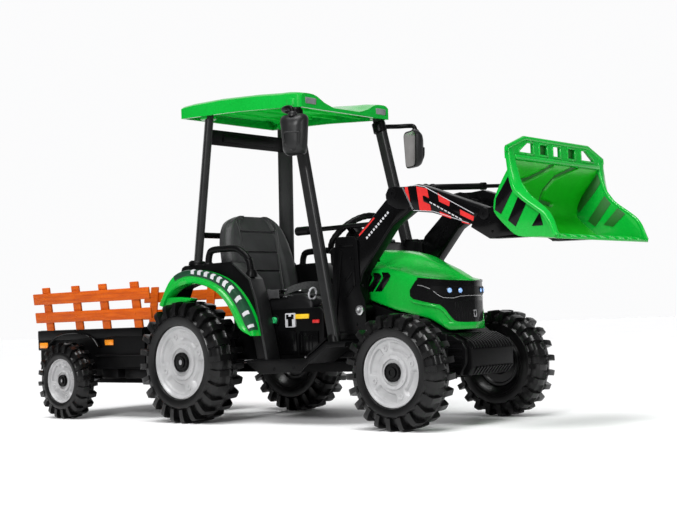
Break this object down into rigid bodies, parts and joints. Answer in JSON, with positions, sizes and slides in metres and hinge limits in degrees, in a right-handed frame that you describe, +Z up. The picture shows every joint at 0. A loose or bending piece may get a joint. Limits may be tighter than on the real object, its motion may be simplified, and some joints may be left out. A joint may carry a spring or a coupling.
{
  "type": "ride-on toy tractor with front loader",
  "caption": "Children's ride-on tractor with a lifting front loader bucket, canopy roof, steering wheel and a hitched two-wheel slatted trailer.",
  "frame": {"origin": "on the ground, below the middle of the overall length and on the centre plane", "axes": "+X forward, +Y to the left of the driver, +Z up"},
  "size_m": [2.17, 0.6388, 1.008],
  "materials": {
    "tyre_rubber": "moulded chunky tread, satin",
    "white_plastic": "moulded, semi-gloss",
    "painted_steel": "black powder coat",
    "bright_steel": "zinc plated",
    "black_plastic": "moulded, fine grain",
    "green_plastic": "moulded, glossy",
    "grey_plastic": "moulded",
    "green_button": "moulded",
    "seat_plastic": "leather-grain moulded",
    "webbing": "woven",
    "orange_plastic": "moulded wood grain",
    "lamp_lens": "clear lens"
  },
  "bodies": {
    "chassis": {"frame_rails": "painted_steel", "rear_axle": "bright_steel", "motor_gearboxes": "black_plastic", "hitch_bracket": "painted_steel", "floor_pan": "black_plastic", "seat_console": "black_plastic", "battery": "grey_plastic", "switch_plate": "grey_plastic", "seat_base": "seat_plastic", "seat_back": "seat_plastic", "seat_belt": "webbing", "fenders": "black_plastic", "fender_trims": "green_plastic", "grab_handles": "black_plastic", "hood": "green_plastic", "grille": "black_plastic", "headlamps": "lamp_lens", "front_bumper": "black_plastic", "cowl": "black_plastic", "dash_panel": "grey_plastic", "rear_posts": "black_plastic", "front_posts": "black_plastic", "rear_crossbars": "black_plastic", "roof": "green_plastic", "mirror_arms": "painted_steel", "towers": "black_plastic", "lift_pins": "bright_steel"},
    "steering": {"steering_wheel": "black_plastic", "steering_shaft": "painted_steel"},
    "horn": {"horn_button": "green_button"},
    "tie_rod": {"tie_rod": "painted_steel"},
    "knuckle_left": {"knuckle_left": "painted_steel"},
    "knuckle_right": {"knuckle_right": "painted_steel"},
    "loader": {"lift_arm_left": "black_plastic", "lift_arm_right": "black_plastic", "cross_tube": "painted_steel", "control_lever": "black_plastic"},
    "tilt_cylinder": {"tilt_cylinder": "painted_steel"},
    "tilt_rod": {"tilt_rod": "bright_steel"},
    "bucket": {"bucket": "green_plastic"},
    "pedal": {"accelerator_pedal": "black_plastic"},
    "shifter": {"gear_lever": "black_plastic"},
    "power_button": {"power_button": "green_button"},
    "mirror_left": {"mirror_left": "black_plastic"},
    "mirror_right": {"mirror_right": "black_plastic"},
    "trailer": {"trailer_tub": "black_plastic", "trailer_frame": "painted_steel", "side_fences": "orange_plastic"},
    "front_wheel_left": {"front_tyre_left": "tyre_rubber", "front_rim_left": "white_plastic"},
    "front_wheel_right": {"front_tyre_right": "tyre_rubber", "front_rim_right": "white_plastic"},
    "rear_wheel_left": {"rear_tyre_left": "tyre_rubber", "rear_rim_left": "white_plastic"},
    "rear_wheel_right": {"rear_tyre_right": "tyre_rubber", "rear_rim_right": "white_plastic"},
    "trailer_wheel_left": {"trailer_tyre_left": "tyre_rubber", "trailer_rim_left": "white_plastic"},
    "trailer_wheel_right": {"trailer_tyre_right": "tyre_rubber", "trailer_rim_right": "white_plastic"}
  },
  "joints": [
    {"name": "steering_turn", "type": "hinge", "parent": "chassis", "child": "steering", "pos_m": [0.2326, 0, 0.5607], "axis": [0.6358, 0, -0.7718], "range_deg": [-36, 36]},
    {"name": "tie_rod_slide", "type": "slide", "parent": "chassis", "child": "tie_rod", "axis": [0, 1, 0], "range_m": [-0.0195, 0.0195]},
    {"name": "steer_left", "type": "hinge", "parent": "chassis", "child": "knuckle_left", "pos_m": [0.583, 0.165, 0.1585], "axis": [0, 0, 1], "range_deg": [-20, 20]},
    {"name": "front_roll_left", "type": "hinge", "parent": "knuckle_left", "child": "front_wheel_left", "pos_m": [0.583, 0.249, 0.1585], "axis": [0, 1, 0], "continuous": true},
    {"name": "rear_roll_left", "type": "hinge", "parent": "chassis", "child": "rear_wheel_left", "pos_m": [-0.253, 0.2505, 0.19], "axis": [0, 1, 0], "continuous": true},
    {"name": "trailer_roll_left", "type": "hinge", "parent": "trailer", "child": "trailer_wheel_left", "pos_m": [-0.858, 0.276, 0.13], "axis": [0, 1, 0], "continuous": true},
    {"name": "mirror_swivel_left", "type": "hinge", "parent": "chassis", "child": "mirror_left", "pos_m": [0.257, 0.288, 0.89], "axis": [0, 0, 1], "range_deg": [-20, 20]},
    {"name": "steer_right", "type": "hinge", "parent": "chassis", "child": "knuckle_right", "pos_m": [0.583, -0.165, 0.1585], "axis": [0, 0, 1], "range_deg": [-20, 20]},
    {"name": "front_roll_right", "type": "hinge", "parent": "knuckle_right", "child": "front_wheel_right", "pos_m": [0.583, -0.249, 0.1585], "axis": [0, 1, 0], "continuous": true},
    {"name": "rear_roll_right", "type": "hinge", "parent": "chassis", "child": "rear_wheel_right", "pos_m": [-0.253, -0.2505, 0.19], "axis": [0, 1, 0], "continuous": true},
    {"name": "trailer_roll_right", "type": "hinge", "parent": "trailer", "child": "trailer_wheel_right", "pos_m": [-0.858, -0.276, 0.13], "axis": [0, 1, 0], "continuous": true},
    {"name": "mirror_swivel_right", "type": "hinge", "parent": "chassis", "child": "mirror_right", "pos_m": [0.257, -0.288, 0.89], "axis": [0, 0, 1], "range_deg": [-20, 20]},
    {"name": "horn_press", "type": "slide", "parent": "steering", "child": "horn", "axis": [0.6358, 0, -0.7718], "range_m": [0, 0.003], "stiffness_N_per_m": 400},
    {"name": "loader_lift", "type": "hinge", "parent": "chassis", "child": "loader", "pos_m": [0.393, 0, 0.33], "axis": [0, 1, 0], "range_deg": [0, 45]},
    {"name": "bucket_tilt", "type": "hinge", "parent": "loader", "child": "bucket", "pos_m": [0.836, 0, 0.57], "axis": [0, 1, 0], "range_deg": [-15, 30]},
    {"name": "cylinder_swing", "type": "hinge", "parent": "loader", "child": "tilt_cylinder", "pos_m": [0.518, 0, 0.68], "axis": [0, 1, 0], "range_deg": [-4, 6]},
    {"name": "rod_slide", "type": "slide", "parent": "tilt_cylinder", "child": "tilt_rod", "axis": [0.997, 0, -0.0773], "range_m": [-0.03, 0.05]},
    {"name": "pedal_press", "type": "hinge", "parent": "chassis", "child": "pedal", "pos_m": [0.207, -0.197, 0.199], "axis": [0, 1, 0], "range_deg": [0, 8], "stiffness_Nm_per_rad": 3},
    {"name": "gear_shift", "type": "hinge", "parent": "chassis", "child": "shifter", "pos_m": [0.21, -0.126, 0.326], "axis": [0, 1, 0], "range_deg": [-10, 10]},
    {"name": "power_press", "type": "slide", "parent": "chassis", "child": "power_button", "axis": [0, 1, 0], "range_m": [0, 0.003], "stiffness_N_per_m": 400},
    {"name": "trailer_yaw", "type": "hinge", "parent": "chassis", "child": "trailer", "pos_m": [-0.417, 0, 0.131], "axis": [0, 0, 1], "range_deg": [-10, 10]}
  ],
  "couplings": [
    {"joint": "tie_rod_slide", "follows": "steering_turn", "m_per_rad": 0.0291},
    {"joint": "steer_left", "follows": "steering_turn", "ratio": -0.53},
    {"joint": "steer_right", "follows": "steering_turn", "ratio": -0.53},
    {"joint": "cylinder_swing", "follows": "bucket_tilt", "ratio": 0.125},
    {"joint": "rod_slide", "follows": "bucket_tilt", "m_per_rad": 0.079068}
  ]
}
